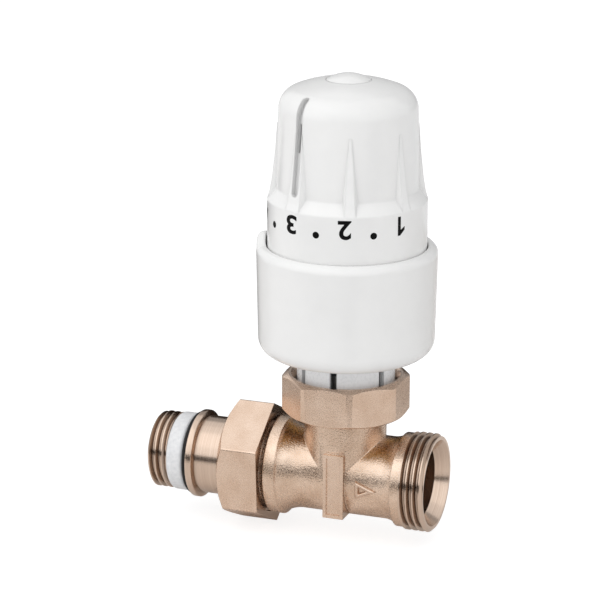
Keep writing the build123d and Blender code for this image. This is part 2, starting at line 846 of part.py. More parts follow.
# Cap pressed into the top of the handwheel
with BuildPart() as handwheel_cap:
    with BuildSketch(stem_section):
        with BuildLine():
            Polyline((0, cap_edge_z + cap_rise), (0, cap_seat_z), (cap_r, cap_seat_z), (cap_r, cap_edge_z))
            TangentArc((0, cap_edge_z + cap_rise), (cap_r, cap_edge_z), tangent=(1, 0))
        make_face()
    revolve(axis=stem_axis)
handwheel_cap.part.label = "handwheel_cap"
export_step(handwheel_cap.part, "parts/handwheel_cap.step")

# Split ring in the skirt that keeps the handwheel on the guide flange
with BuildPart() as retaining_ring:
    with BuildSketch(stem_level.offset(ring_z)):
        Circle(ring_r)
        Circle(ring_inner_r, mode=Mode.SUBTRACT)
        with Locations((0, ring_r)):
            Rectangle(ring_split, ring_r, mode=Mode.SUBTRACT)
    extrude(amount=ring_width)
retaining_ring.part.label = "retaining_ring"
export_step(retaining_ring.part, "parts/retaining_ring.step")

# Sensor carrier: threaded boss in the handwheel sleeve, cup in the guide tube, two keys
with BuildPart() as sensor_carrier:
    with BuildSketch(stem_section):
        with BuildLine():
            Polyline(
                (boss_bore_r, carrier_roof),
                (boss_bore_r, boss_top),
                (boss_r, boss_top),
                (boss_r, carrier_top),
                (carrier_r, carrier_top),
                (carrier_r, carrier_bottom),
                (carrier_bore_r, carrier_bottom),
                (carrier_bore_r, carrier_roof),
                close=True,
            )
        make_face()
    revolve(axis=stem_axis)
    with BuildSketch(stem_level.offset(key_bottom)):
        with Locations((0, carrier_r), (0, -carrier_r)):
            Rectangle(key_width, 2 * key_reach)
        Circle(carrier_bore_r, mode=Mode.SUBTRACT)
    extrude(amount=key_top - key_bottom)
sensor_carrier.part.label = "sensor_carrier"
export_step(sensor_carrier.part, "parts/sensor_carrier.step")

# Sensor capsule with a nose bored for the push pin
with BuildPart() as sensor_capsule:
    with BuildSketch(stem_section):
        with BuildLine():
            Polyline(
                (pin_r + slide_fit, sensor_bottom),
                (sensor_nose_r, sensor_bottom),
                (sensor_nose_r, sensor_shoulder),
                (sensor_r, sensor_shoulder),
                (sensor_r, sensor_top),
                (0, sensor_top),
                (0, sensor_bottom + sensor_bore_depth),
                (pin_r + slide_fit, sensor_bottom + sensor_bore_depth),
                close=True,
            )
        make_face()
    revolve(axis=stem_axis)
sensor_capsule.part.label = "sensor_capsule"
export_step(sensor_capsule.part, "parts/sensor_capsule.step")

# Ring that keeps the capsule in the carrier
with BuildPart() as carrier_ring:
    with BuildSketch(stem_level.offset(carrier_bottom)):
        Circle(carrier_bore_r - seat_fit)
        Circle(sensor_nose_r + running_gap, mode=Mode.SUBTRACT)
    extrude(amount=sensor_shoulder - carrier_bottom)
carrier_ring.part.label = "carrier_ring"
export_step(carrier_ring.part, "parts/carrier_ring.step")

# Overtravel spring between the carrier roof and the capsule, a square wire
with BuildPart() as overtravel_spring:
    overtravel_rise = carrier_roof - sensor_top - overtravel_spring_wire
    with BuildLine(stem_level.offset(sensor_top + overtravel_spring_wire / 2)) as overtravel_coil:
        Helix(overtravel_rise / overtravel_spring_turns, overtravel_rise, overtravel_spring_r)
    with BuildSketch(Plane(origin=overtravel_coil.wire() @ 0, z_dir=overtravel_coil.wire() % 0)):
        Rectangle(overtravel_spring_wire, overtravel_spring_wire)
    sweep(is_frenet=True)
overtravel_spring.part.label = "overtravel_spring"
export_step(overtravel_spring.part, "parts/overtravel_spring.step")

# Push pin from the capsule down to the stem
with BuildPart() as push_pin:
    with BuildSketch(stem_level.offset(stem_top)):
        Circle(pin_r)
    extrude(amount=sensor_bottom + pin_reach - stem_top)
push_pin.part.label = "push_pin"
export_step(push_pin.part, "parts/push_pin.step")

# Heat conductor: a bell on the insert that brings the water's heat up to the capsule
with BuildPart() as heat_conductor:
    with BuildSketch(stem_section):
        with BuildLine():
            Polyline(
                (conductor_foot_r - conductor_foot_wall, head_thread_top),
                (conductor_foot_r, head_thread_top),
                (conductor_foot_r, conductor_cup_top),
                (conductor_neck_r, conductor_cup_top + conductor_foot_r - conductor_neck_r),
                (conductor_neck_r, conductor_top),
                (conductor_bore_r, conductor_top),
                (conductor_bore_r, conductor_cup_top),
                (conductor_foot_r - conductor_foot_wall, conductor_cup_top - conductor_foot_wall),
                close=True,
            )
        make_face()
    revolve(axis=stem_axis)
heat_conductor.part.label = "heat_conductor"
export_step(heat_conductor.part, "parts/heat_conductor.step")
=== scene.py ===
import math

import bmesh
import bpy
from mathutils import Matrix, Vector


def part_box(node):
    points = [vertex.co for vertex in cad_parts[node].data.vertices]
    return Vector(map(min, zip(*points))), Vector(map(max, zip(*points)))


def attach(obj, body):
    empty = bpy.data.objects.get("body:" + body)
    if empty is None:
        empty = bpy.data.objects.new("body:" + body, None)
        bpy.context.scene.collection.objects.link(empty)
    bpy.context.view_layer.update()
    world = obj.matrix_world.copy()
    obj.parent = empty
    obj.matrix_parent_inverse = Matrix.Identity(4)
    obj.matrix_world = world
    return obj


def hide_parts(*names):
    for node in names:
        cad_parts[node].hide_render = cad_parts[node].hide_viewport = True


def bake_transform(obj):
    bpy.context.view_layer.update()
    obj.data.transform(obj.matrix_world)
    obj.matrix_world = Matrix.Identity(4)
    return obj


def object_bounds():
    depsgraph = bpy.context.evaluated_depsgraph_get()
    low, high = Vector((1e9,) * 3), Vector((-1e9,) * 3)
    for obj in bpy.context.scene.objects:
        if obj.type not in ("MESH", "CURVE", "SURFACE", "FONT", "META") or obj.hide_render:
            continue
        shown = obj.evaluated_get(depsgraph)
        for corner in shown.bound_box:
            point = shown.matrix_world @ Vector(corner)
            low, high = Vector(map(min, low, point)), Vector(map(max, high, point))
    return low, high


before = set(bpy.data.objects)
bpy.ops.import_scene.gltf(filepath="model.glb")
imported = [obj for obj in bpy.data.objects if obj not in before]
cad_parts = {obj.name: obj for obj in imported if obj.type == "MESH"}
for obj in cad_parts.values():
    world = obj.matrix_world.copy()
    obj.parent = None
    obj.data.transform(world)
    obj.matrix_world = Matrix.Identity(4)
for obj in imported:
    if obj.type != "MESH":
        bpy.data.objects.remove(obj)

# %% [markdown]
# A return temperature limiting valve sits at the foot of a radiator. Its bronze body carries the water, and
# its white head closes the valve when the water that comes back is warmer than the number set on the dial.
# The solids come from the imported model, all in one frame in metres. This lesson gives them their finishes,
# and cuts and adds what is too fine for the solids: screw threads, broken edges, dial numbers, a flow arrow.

MM = 0.001
cad_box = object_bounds()
# The pipe runs along X, and the stem stands upright on it here.
stem_x = 48.3 * MM

# %% [markdown]
# The camera stands where the photographer stood: in front, a little to the right and above, with a long
# lens that hardly lets lines converge. Its place was worked out by fitting the sizes of threads and nuts
# to the picture. Three axis vectors make its matrix directly, which is exact where aiming it by hand isn't.

# %% Camera
camera_turn = math.radians(20.207)
camera_rise = math.radians(16.739)
camera_roll = math.radians(0.238)
camera_distance = 750.16 * MM
camera_target = Vector((35.13, 0.0, 46.787)) * MM
# Blender gives the width of the film and the length of the lens in millimetres.
film_width = 36.0
lens_length = 168.96
nearest_seen = 10 * MM


def add_object(name, data):
    """A new object in the scene, made of some data such as a mesh or a lamp."""
    thing = bpy.data.objects.new(name, data)
    bpy.context.scene.collection.objects.link(thing)
    return thing


back = Vector((
    math.sin(camera_turn) * math.cos(camera_rise),
    -math.cos(camera_turn) * math.cos(camera_rise),
    math.sin(camera_rise),
))
level = Vector((math.cos(camera_turn), math.sin(camera_turn), 0.0))
upright = back.cross(level)
right = level * math.cos(camera_roll) + upright * math.sin(camera_roll)
up = upright * math.cos(camera_roll) - level * math.sin(camera_roll)

camera = add_object("camera", bpy.data.cameras.new("camera"))
camera.data.sensor_width = film_width
camera.data.lens = lens_length
camera.data.clip_start = nearest_seen
stand = camera_target + back * camera_distance
camera.matrix_world = Matrix((right, up, back)).transposed().to_4x4()
camera.location = stand
bpy.context.scene.camera = camera
bpy.context.scene.view_settings.view_transform = "Standard"
print("camera at", [round(c, 4) for c in stand])

# %% [markdown]
# Every finish below is a small graph of shader nodes. A few helpers keep the graphs short: one turns the hex
# colours that people read off a colour chart into the linear values that light is reckoned in, one adds a
# node with its settings and its links in one line, and two begin and end the graph of a material.

# %% Helpers for finishes
def colour(hex_code):
    """The linear colour of an sRGB hex value such as "#d8b49c"."""
    shares = [int(hex_code[i:i + 2], 16) / 255 for i in (1, 3, 5)]
    linear = [s / 12.92 if s <= 0.04045 else ((s + 0.055) / 1.055) ** 2.4 for s in shares]
    return (*linear, 1.0)


def add_node(tree, kind, links=None, **settings):
    """Adds a node, gives it its settings, and sets or links its inputs."""
    node = tree.nodes.new(kind)
    for name, value in settings.items():
        setattr(node, name, value)
    for socket, value in (links or {}).items():
        if isinstance(value, bpy.types.NodeSocket):
            tree.links.new(value, node.inputs[socket])
        else:
            node.inputs[socket].default_value = value
    return node


def start_finish(name):
    """A new material with an empty graph, its shader and its object coordinates."""
    material = bpy.data.materials.new(name)
    material.use_nodes = True
    tree = material.node_tree
    tree.nodes.clear()
    shader = add_node(tree, "ShaderNodeBsdfPrincipled")
    add_node(tree, "ShaderNodeOutputMaterial", {"Surface": shader.outputs["BSDF"]})
    place = add_node(tree, "ShaderNodeTexCoord").outputs["Object"]
    return material, tree, shader, place


def end_finish(tree, shader, base_colour, roughness, normal):
    """Links the three outputs that every finish ends in to the shader."""
    tree.links.new(base_colour, shader.inputs["Base Color"])
    tree.links.new(roughness, shader.inputs["Roughness"])
    tree.links.new(normal, shader.inputs["Normal"])


print("white in linear light:", colour("#ffffff"))

# %% [markdown]
# The picture is a catalogue shot on white. The world is white to the camera and in reflections, while the
# light that it sheds on the object is weaker. The Light Path node tells the two apart, so a brighter
# background never means a brighter object. A picture of a studio could light the scene instead, but plain
# white has no shapes in it that would show up in the metal.

# %% World
falling_light = 0.60
white_seen = 1.0
world = bpy.data.worlds.new("studio")
bpy.context.scene.world = world
world.use_nodes = True
sky = world.node_tree
sky.nodes.clear()
path = add_node(sky, "ShaderNodeLightPath")
seen = add_node(sky, "ShaderNodeMath", {0: path.outputs["Is Camera Ray"], 1: path.outputs["Is Glossy Ray"]},
                operation="MAXIMUM")
seen = add_node(sky, "ShaderNodeMath", {0: seen.outputs[0], 1: path.outputs["Is Transmission Ray"]},
                operation="MAXIMUM")
falls = add_node(sky, "ShaderNodeBackground", {"Color": colour("#fbfbfc"), "Strength": falling_light})
shown = add_node(sky, "ShaderNodeBackground", {"Color": colour("#ffffff"), "Strength": white_seen})
both = add_node(sky, "ShaderNodeMixShader", {0: seen.outputs[0], 1: falls.outputs[0], 2: shown.outputs[0]})
add_node(sky, "ShaderNodeOutputWorld", {"Surface": both.outputs[0]})
print("world:", world.name)

# %% [markdown]
# The floor is a sheet of white paper. To the camera most of its brightness is a glow of its own, so that it
# melts into the white behind it, and the rest is real light on a matt surface, where the soft shadow of the
# object shows. In reflections, and for the light that it throws back, it is paler paper with less glow or
# none. One shader for all would have to choose between a white background and a shadow that can be seen.

# %% Floor
floor_half = 6.0
floor_gap = 0.2 * MM
glow_to_camera = 0.80
glow_in_metal = 0.22
floor_z = cad_box[0][2] - floor_gap
floor_mesh = bpy.data.meshes.new("floor")
floor_mesh.from_pydata(
    [(sx * floor_half, sy * floor_half, floor_z) for sx, sy in ((-1, -1), (1, -1), (1, 1), (-1, 1))],
    [], [(0, 1, 2, 3)])
floor = add_object("floor", floor_mesh)

paper = bpy.data.materials.new("white_studio_paper")
paper.use_nodes = True
tree = paper.node_tree
tree.nodes.clear()
path = add_node(tree, "ShaderNodeLightPath")
matt = add_node(tree, "ShaderNodeBsdfDiffuse", {"Color": colour("#e6e6e6")})
shade = add_node(tree, "ShaderNodeBsdfDiffuse", {"Color": colour("#a8a8a8")})
base = add_node(tree, "ShaderNodeMixShader",
                {0: path.outputs["Is Camera Ray"], 1: matt.outputs[0], 2: shade.outputs[0]})
lift = add_node(tree, "ShaderNodeMath", {0: path.outputs["Is Glossy Ray"], 1: glow_in_metal},
                operation="MULTIPLY")
lift = add_node(tree, "ShaderNodeMath",
                {0: path.outputs["Is Camera Ray"], 1: glow_to_camera, 2: lift.outputs[0]},
                operation="MULTIPLY_ADD")
glow = add_node(tree, "ShaderNodeEmission", {"Color": colour("#ffffff"), "Strength": lift.outputs[0]})
both = add_node(tree, "ShaderNodeAddShader", {0: base.outputs[0], 1: glow.outputs[0]})
add_node(tree, "ShaderNodeOutputMaterial", {"Surface": both.outputs[0]})
floor_mesh.materials.append(paper)
print("floor at", round(floor_z / MM, 2), "mm")

# %% [markdown]
# Soft boxes do the rest. A large key light stands high on the left, a weaker one on the right keeps that side
# from going flat, and one hangs overhead for the dome and the upper faces of the nuts. Area lamps are used
# because their size sets how soft the edge of a shadow is, and these are well over a metre wide. Half of the
# light from the sides comes through a veil, a second lamp that reflections don't see: it lights the object,
# and spares the metal the glare that would burn out to white.

# %% Lamps
valve_middle = Vector((45.0, 0.0, 50.0)) * MM


def soft_box(name, place, size, watts):
    """A square area lamp that looks at the middle of the valve."""
    lamp = bpy.data.lights.new(name, "AREA")
    lamp.shape = "SQUARE"
    lamp.size = size
    lamp.energy = watts
    holder = add_object(name, lamp)
    holder.location = place
    aim = valve_middle - Vector(place)
    holder.rotation_euler = aim.to_track_quat("-Z", "Y").to_euler()
    return holder


lamps = {
    # name: (place in metres, width in metres, watts, share of the light without a veil)
    "key_light": ((-0.92, -0.95, 0.92), 2.4, 13.4, 0.5),
    "side_light": ((1.15, -0.80, 0.70), 1.9, 6.4, 0.5),
    "top_light": ((0.0, -0.45, 1.35), 2.0, 2.6, 1.0),
}
# Two lamps in exactly one place give less light than one of their power, so the veiled one is further off.
veil_distance = 1.01
for name, (place, size, watts, open_share) in lamps.items():
    soft_box(name, place, size, watts * open_share)
    if open_share < 1.0:
        further = [veil_distance * c for c in place]
        veiled = soft_box("veiled_" + name, further, size, watts * (1 - open_share))
        veiled.visible_glossy = False
    print(name, "gives", watts, "watts")

# %% [markdown]
# In a room that is white all round, bright metal looks like painted plastic. A photographer stands cards just
# outside the picture, so that turned surfaces mirror a dark line between the white ones, and the side faces
# of a nut look deeper than its front. Two low dark cards stand in front of the pipe and behind it, and two
# grey ones at the sides, all so low that the head hardly sees them. Two narrow strips draw the front corner
# of the upper nut and the end of the lower one. A tall pale sheet far behind draws the edges of the white
# head, where plastic mirrors most, and a faintly warm one on the floor deepens the metal that faces down.
# All of them show only in reflections, so they take no light from the object and never stand in a view.

# %% Cards for reflections
sheet_gap = 0.1 * MM


def card_cloth(name, hex_code):
    """A matt cloth for cards."""
    cloth = bpy.data.materials.new(name)
    cloth.use_nodes = True
    cloth_shader = cloth.node_tree.nodes["Principled BSDF"]
    cloth_shader.inputs["Base Color"].default_value = colour(hex_code)
    cloth_shader.inputs["Roughness"].default_value = 1.0
    cloth_shader.inputs["Specular IOR Level"].default_value = 0.0
    return cloth


def reflected_card(name, corners, cloth):
    """A card with four corners, seen only in reflections."""
    mesh = bpy.data.meshes.new(name)
    mesh.from_pydata(corners, [], [(0, 1, 2, 3)])
    mesh.materials.append(cloth)
    card = add_object(name, mesh)
    card.visible_camera = False
    card.visible_diffuse = False
    card.visible_shadow = False
    card.visible_transmission = False
    return card


def standing_card(name, start, end, top_mm, cloth):
    """A card that stands on the floor between two points."""
    foot = [(x * MM, y * MM, floor_z) for x, y in (start, end)]
    head = [(x * MM, y * MM, top_mm * MM) for x, y in (end, start)]
    return reflected_card(name, foot + head, cloth)


def lying_sheet(name, low, high, cloth):
    """A sheet that lies just above the floor between two corners."""
    (x0, y0), (x1, y1) = low, high
    z = floor_z + sheet_gap
    corners = [(x * MM, y * MM, z) for x, y in ((x0, y0), (x1, y0), (x1, y1), (x0, y1))]
    return reflected_card(name, corners, cloth)


print("cards rise from the floor at", round(floor_z / MM, 2), "mm")

# %% Where the cards stand
dark_cloth = card_cloth("dark_studio_cloth", "#2a2019")
grey_cloth = card_cloth("grey_studio_cloth", "#cfc8c1")
pale_cloth = card_cloth("pale_studio_cloth", "#bdbdbd")
warm_cloth = card_cloth("warm_studio_cloth", "#fffbf7")
standing_cards = {
    # name: (start and end on the floor, height of the top edge, all in mm, and the cloth)
    "front_card": ((-900, -200), (900, -200), 40, dark_cloth),
    "back_card": ((-250, 90), (60, 90), 45, dark_cloth),
    "right_card": ((75, 90), (300, 90), 45, grey_cloth),
    "left_card": ((-75, 0), (-75, 85), 35, grey_cloth),
    "corner_strip": ((92, -150), (142, -150), 8, dark_cloth),
    "end_strip": ((34, 60), (64, 60), 15, dark_cloth),
    "back_sheet": ((-1100, 1400), (1200, 1400), 1500, pale_cloth),
}
cards = [standing_card(name, *row) for name, row in standing_cards.items()]
cards.append(lying_sheet("warm_sheet", (-700, -1200), (900, 300), warm_cloth))
print("cards:", [card.name for card in cards])

# %% [markdown]
# Gunmetal bronze, hot pressed and then blasted with fine grit, is the skin of the body and the nuts. Blasting
# leaves a grain of tiny pits that scatters reflections to a satin, and the pale rose tone shifts a little
# where the metal has begun to tarnish. A photo texture would tie it to one shape, so noise does both: a fine
# one for the pits and a broad one for the tone. The Bevel node rounds the look of every hard edge. The body
# has the coarser grain and softer edges, and the nuts the finer ones.

# %% Bronze, hot pressed and blasted
# Grit of 0.1 to 0.2 mm leaves pits too fine for the render, so they are drawn at 0.4 mm.
pit_size = 0.42 * MM
tone_size = 7.0 * MM


def pressed_bronze(name, edge_radius, pit_depth, grain, dark, light):
    """Blasted bronze between two tones, with pits, a share (grain) of the pits' painted shade and glints in
    its colour, and soft edges.
    """
    finish, tree, shader, place = start_finish(name)
    pits = add_node(tree, "ShaderNodeTexNoise", {"Vector": place, "Scale": 1 / pit_size, "Detail": 3.0})
    tone = add_node(tree, "ShaderNodeTexNoise", {"Vector": place, "Scale": 1 / tone_size, "Detail": 4.0})
    # The pits are painted into the colour too, as darker and lighter specks: painted shade and painted glints
    # of the pits.
    tone_and_painted_speckle = add_node(tree, "ShaderNodeMix",
                     {"Factor": grain, "A": tone.outputs["Fac"], "B": pits.outputs["Fac"]})
    ramp = add_node(tree, "ShaderNodeValToRGB", {"Fac": tone_and_painted_speckle.outputs["Result"]})
    ramp.color_ramp.elements[0].position = 0.33
    ramp.color_ramp.elements[0].color = colour(dark)
    ramp.color_ramp.elements[1].position = 0.67
    ramp.color_ramp.elements[1].color = colour(light)
    satin = add_node(tree, "ShaderNodeMapRange",
                     {"Value": pits.outputs["Fac"], "To Min": 0.20, "To Max": 0.34})
    soft_edge = add_node(tree, "ShaderNodeBevel", {"Radius": edge_radius}, samples=8)
    bump = add_node(tree, "ShaderNodeBump",
                    {"Height": pits.outputs["Fac"], "Strength": 0.8, "Distance": pit_depth,
                     "Normal": soft_edge.outputs["Normal"]})
    end_finish(tree, shader, ramp.outputs["Color"], satin.outputs["Result"], bump.outputs["Normal"])
    shader.inputs["Metallic"].default_value = 1.0
    print("finish:", finish.name)
    return finish


# The grain of each is the share of the pits' painted shade and glints in its colour.
bronze = pressed_bronze("bronze_hot_pressed_and_blasted", edge_radius=0.45 * MM, pit_depth=0.11 * MM,
                        grain=0.3, dark="#c3a892", light="#e8d1be")
nut_bronze = pressed_bronze("bronze_hot_pressed_nut", edge_radius=0.12 * MM, pit_depth=0.04 * MM,
                            grain=0.35, dark="#ceb39e", light="#e2cbb9")

# %% [markdown]
# Where a seal or a thread needs a true surface, the same bronze is turned on a lathe. The tool leaves fine
# rings round the axis, so the metal is brighter, and its reflections are drawn out into bands. Noise that
# is squeezed along the pipe and stretched round it makes such rings without a single modelled groove. The
# grooves of a thread get painted shade: the Ambient Occlusion node darkens the colour where little open space
# lies before the metal, where painting the shade by hand would have to be done again for every thread.

# %% Bronze, turned on a lathe
# A feed of 0.1 mm a turn is too fine to show, so the rings are drawn 0.3 mm apart.
feed = 0.3 * MM
# Across the pipe the noise changes only a dozen times in a metre, which draws it out into rings.
changes_a_metre = 12.0
groove_shade_reach = 1.5 * MM
# A colour mix shares its socket names with other kinds of mix, so its own are picked by number.
MIX_SHARE, MIX_FIRST, MIX_SECOND, MIX_RESULT = 0, 6, 7, 2

turned_bronze, tree, shader, place = start_finish("bronze_turned_on_a_lathe")
rings_at = add_node(tree, "ShaderNodeMapping",
                    {"Vector": place, "Scale": (1 / feed, changes_a_metre, changes_a_metre)})
rings = add_node(tree, "ShaderNodeTexNoise", {"Vector": rings_at.outputs[0], "Scale": 1.0, "Detail": 2.0})
ramp = add_node(tree, "ShaderNodeValToRGB", {"Fac": rings.outputs["Fac"]})
ramp.color_ramp.elements[0].position = 0.25
ramp.color_ramp.elements[0].color = colour("#c4ad9b")
ramp.color_ramp.elements[1].position = 0.75
ramp.color_ramp.elements[1].color = colour("#d8c4b4")
# Painted shade: where the occlusion node finds little open room before the metal, as in the grooves of a
# thread, the colour is mixed towards dark brown.
space = add_node(tree, "ShaderNodeAmbientOcclusion", {"Distance": groove_shade_reach}, samples=8, only_local=True)
with_painted_groove_shade = add_node(tree, "ShaderNodeMix",
                 {MIX_SHARE: space.outputs["AO"], MIX_FIRST: colour("#503a2b"),
                  MIX_SECOND: ramp.outputs["Color"]},
                 data_type="RGBA")
polish = add_node(tree, "ShaderNodeMapRange", {"Value": rings.outputs["Fac"], "To Min": 0.16, "To Max": 0.28})
bump = add_node(tree, "ShaderNodeBump",
                {"Height": rings.outputs["Fac"], "Strength": 0.25, "Distance": 0.02 * MM})
end_finish(tree, shader, with_painted_groove_shade.outputs[MIX_RESULT], polish.outputs["Result"], bump.outputs["Normal"])
shader.inputs["Metallic"].default_value = 1.0
print("finish:", turned_bronze.name)

# %% [markdown]
# The head is white ABS from a polished mould: glossy, faintly warm, with a slow waviness that makes
# reflections swim a little. A very low bump of large noise gives that, and a change of tone too small to
# name keeps the white from looking like paint on a screen. Narrow hollows such as the grip slot get painted
# shade, from the same occlusion node that darkens the grooves of the threads.

# %% ABS, moulded glossy white
wave_size = 5.0 * MM
hollow_shade_reach = 2.5 * MM
mould_edge = 0.8 * MM

white_abs, tree, shader, place = start_finish("abs_moulded_glossy_white")
wave = add_node(tree, "ShaderNodeTexNoise", {"Vector": place, "Scale": 1 / wave_size, "Detail": 2.0})
ramp = add_node(tree, "ShaderNodeValToRGB", {"Fac": wave.outputs["Fac"]})
ramp.color_ramp.elements[0].color = colour("#efefee")
ramp.color_ramp.elements[1].color = colour("#f4f4f3")
# Painted shade: where the occlusion node finds little open room, as in the grip slot, the white is mixed
# towards grey.
space = add_node(tree, "ShaderNodeAmbientOcclusion", {"Distance": hollow_shade_reach}, samples=8, only_local=True)
with_painted_hollow_shade = add_node(tree, "ShaderNodeMix",
                 {MIX_SHARE: space.outputs["AO"], MIX_FIRST: colour("#c6c6c6"),
                  MIX_SECOND: ramp.outputs["Color"]},
                 data_type="RGBA")
gloss = add_node(tree, "ShaderNodeMapRange", {"Value": wave.outputs["Fac"], "To Min": 0.16, "To Max": 0.24})
soft_edge = add_node(tree, "ShaderNodeBevel", {"Radius": mould_edge}, samples=8)
bump = add_node(tree, "ShaderNodeBump",
                {"Height": wave.outputs["Fac"], "Strength": 0.05, "Distance": 0.1 * MM,
                 "Normal": soft_edge.outputs["Normal"]})
end_finish(tree, shader, with_painted_hollow_shade.outputs[MIX_RESULT], gloss.outputs["Result"], bump.outputs["Normal"])
shader.inputs["IOR"].default_value = 1.53
print("finish:", white_abs.name)

# %% [markdown]
# The smaller pieces each have a finish of their own: a slotted collet of grey-white acetal, a turned
# white seal, black rubber, fibre gaskets, and inside the valve brass, steel wire, copper and aluminium.
# They differ only in colour, sheen and grain, so one loop over a table makes them, with a fine noise for
# the grain of each.

# %% Finishes of the small pieces
# The real grain of most of them is too fine to show, so it is drawn at half a millimetre and more.
grain_depth = 0.05 * MM
small_finishes = {
    # name: (dark, light, metallic, smoothest, roughest, grain in mm, bump strength)
    # Acetal from a mould is waxy, with soft highlights.
    "acetal_moulded_grey_white": ("#eceef0", "#f5f6f7", 0.0, 0.22, 0.34, 0.8, 0.06),
    # A soft white plastic that was turned is cloudy and slightly rough.
    "sealing_plastic_turned_white": ("#d3d5d8", "#f8f8f8", 0.0, 0.30, 0.45, 0.9, 0.30),
    # Rubber swallows light and hardly shines.
    "rubber_moulded_black": ("#070707", "#0f0e0e", 0.0, 0.60, 0.80, 0.6, 0.15),
    # Pressed fibre is dull and rough, like thick card.
    "fibre_pressed_brown": ("#5b4030", "#84634d", 0.0, 0.75, 0.90, 0.7, 0.40),
    # The metals keep a satin shine, and their tints tell them apart: yellow, grey, pale and red.
    "brass_turned": ("#c4a264", "#d9bb82", 1.0, 0.20, 0.34, 0.6, 0.12),
    "steel_drawn_wire": ("#9d9fa2", "#bfc1c3", 1.0, 0.22, 0.36, 0.5, 0.12),
    "aluminium_turned": ("#c3c5c8", "#dadbdd", 1.0, 0.24, 0.38, 0.6, 0.12),
    "copper_drawn": ("#b87a5c", "#cf957a", 1.0, 0.22, 0.36, 0.6, 0.10),
}
finishes = {}
for name, (dark, light, metallic, smoothest, roughest, grain_mm, strength) in small_finishes.items():
    finish, tree, shader, place = start_finish(name)
    grain = add_node(tree, "ShaderNodeTexNoise",
                     {"Vector": place, "Scale": 1 / (grain_mm * MM), "Detail": 3.0})
    ramp = add_node(tree, "ShaderNodeValToRGB", {"Fac": grain.outputs["Fac"]})
    ramp.color_ramp.elements[0].color = colour(dark)
    ramp.color_ramp.elements[1].color = colour(light)
    sheen = add_node(tree, "ShaderNodeMapRange",
                     {"Value": grain.outputs["Fac"], "To Min": smoothest, "To Max": roughest})
    bump = add_node(tree, "ShaderNodeBump",
                    {"Height": grain.outputs["Fac"], "Strength": strength, "Distance": grain_depth})
    end_finish(tree, shader, ramp.outputs["Color"], sheen.outputs["Result"], bump.outputs["Normal"])
    shader.inputs["Metallic"].default_value = metallic
    finishes[name] = finish
print("small finishes:", len(finishes))

# %% [markdown]
# Now each solid gets its finish. The finishes could be set one object at a time, but a table from finish to
# nodes reads like a parts list, and one loop over it dresses them all and counts them.

# %% Which finish each node takes
wears = {
    bronze: ["valve_body"],
    nut_bronze: ["union_nut", "head_nut"],
    turned_bronze: ["tailpiece"],
    white_abs: ["handwheel", "handwheel_cap", "shroud"],
    finishes["acetal_moulded_grey_white"]: ["head_base", "sensor_carrier", "carrier_ring"],
    finishes["sealing_plastic_turned_white"]: ["sealing_ring"],
    finishes["rubber_moulded_black"]: ["backing_ring", "stem_seal", "disc_washer"],
    finishes["fibre_pressed_brown"]: ["union_gasket", "insert_gasket"],
    finishes["brass_turned"]: ["valve_insert", "gland_nut", "valve_disc", "disc_nut"],
    finishes["steel_drawn_wire"]: ["valve_stem", "return_spring", "overtravel_spring", "push_pin",
                                   "retaining_ring"],
    finishes["aluminium_turned"]: ["heat_conductor"],
    finishes["copper_drawn"]: ["sensor_capsule"],
}
for finish, nodes in wears.items():
    for node in nodes:
        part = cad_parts[node]
        if not part.material_slots:
            part.data.materials.append(finish)
        for slot in part.material_slots:
            slot.material = finish
print("nodes dressed:", sum(len(nodes) for nodes in wears.values()))

# %% [markdown]
# Pipe threads are the jewellery of a fitting. The solids carry plain cylinders at the full diameter, so here
# a groove is cut into a copy of each. A bump map would leave the outline smooth, and the outline is where a
# thread is read. The cutter is a ridge with the 55 degree flanks of a pipe thread, swept along a helix.

# %% A copy of a node that can be cut
weld_distance = 1e-6
level_angle = math.radians(0.2)


def welded_copy(node, name):
    """A new piece in a node's place, with its corners joined again so that it can be cut."""
    net = bmesh.new()
    net.from_mesh(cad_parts[node].data)
    bmesh.ops.remove_doubles(net, verts=net.verts, dist=weld_distance)
    bmesh.ops.dissolve_limit(net, angle_limit=level_angle, verts=net.verts, edges=net.edges)
    mesh = bpy.data.meshes.new(name)
    net.to_mesh(mesh)
    net.free()
    if "custom_normal" in mesh.attributes:
        mesh.attributes.remove(mesh.attributes["custom_normal"])
    mesh.materials.clear()
    return add_object(name, mesh)


def settle(piece, sharp_degrees=28.0):
    """Applies the modifiers of a piece, and shades it smooth up to its sharp edges."""
    bpy.context.view_layer.update()
    ready = piece.evaluated_get(bpy.context.evaluated_depsgraph_get())
    mesh = bpy.data.meshes.new_from_object(ready)
    piece.modifiers.clear()
    piece.data = mesh
    net = bmesh.new()
    net.from_mesh(mesh)
    for face in net.faces:
        face.smooth = True
    for edge in net.edges:
        bend = edge.calc_face_angle(0.0)
        edge.smooth = len(edge.link_faces) == 2 and bend < math.radians(sharp_degrees)
    net.to_mesh(mesh)
    net.free()


print("corners closer than", weld_distance / MM, "mm are joined")

# %% The helical cutter
pitch = 1.814 * MM
groove_depth = 1.05 * MM
groove_mouth = 1.45 * MM
groove_root = 0.35 * MM
steps_a_turn = 72


def mesh_facing_out(name, points, faces):
    """A mesh of points and faces, with every face turned to look outwards."""
    mesh = bpy.data.meshes.new(name)
    mesh.from_pydata(points, [], faces)
    net = bmesh.new()
    net.from_mesh(mesh)
    bmesh.ops.recalc_face_normals(net, faces=net.faces)
    net.to_mesh(mesh)
    net.free()
    return mesh


